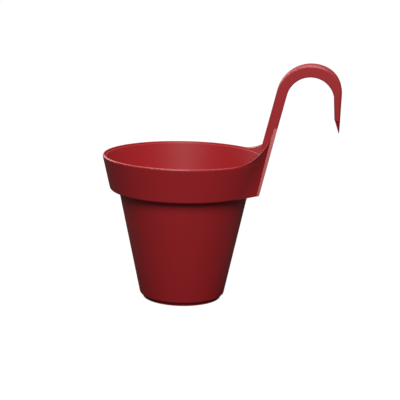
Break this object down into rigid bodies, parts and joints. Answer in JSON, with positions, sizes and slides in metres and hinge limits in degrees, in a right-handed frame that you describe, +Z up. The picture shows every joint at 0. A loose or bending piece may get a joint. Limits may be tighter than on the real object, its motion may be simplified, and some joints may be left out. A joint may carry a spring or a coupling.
{
  "type": "hanging flower pot",
  "caption": "Stepped round flower pot whose collar rises into a leaning over-rail hook, with a lift-out inner pot, drain grid and drain plug.",
  "frame": {"origin": "centre of the foot ring's underside, on the pot's axis", "axes": "+Z up along the pot's axis, +X towards the rail hook"},
  "size_m": [0.2872, 0.1991, 0.2933],
  "materials": {
    "outer_red": "satin moulded polypropylene, crimson",
    "liner_red": "satin moulded polypropylene, crimson",
    "grid_red": "matt moulded polypropylene, crimson",
    "plug_rubber": "soft black thermoplastic rubber"
  },
  "bodies": {
    "pot": {"hook_pot": "outer_red"},
    "inner_pot": {"liner": "liner_red"},
    "grid": {"drain_grid": "grid_red"},
    "plug": {"drain_plug": "plug_rubber"}
  },
  "joints": [
    {"name": "liner_lift", "type": "slide", "parent": "pot", "child": "inner_pot", "axis": [-0.1564, 0, 0.9877], "range_m": [0, 0.165]},
    {"name": "grid_lift", "type": "slide", "parent": "inner_pot", "child": "grid", "axis": [0, 0, 1], "range_m": [0, 0.18]},
    {"name": "plug_pull", "type": "slide", "parent": "pot", "child": "plug", "axis": [0, 0, 1], "range_m": [0, 0.01]}
  ]
}
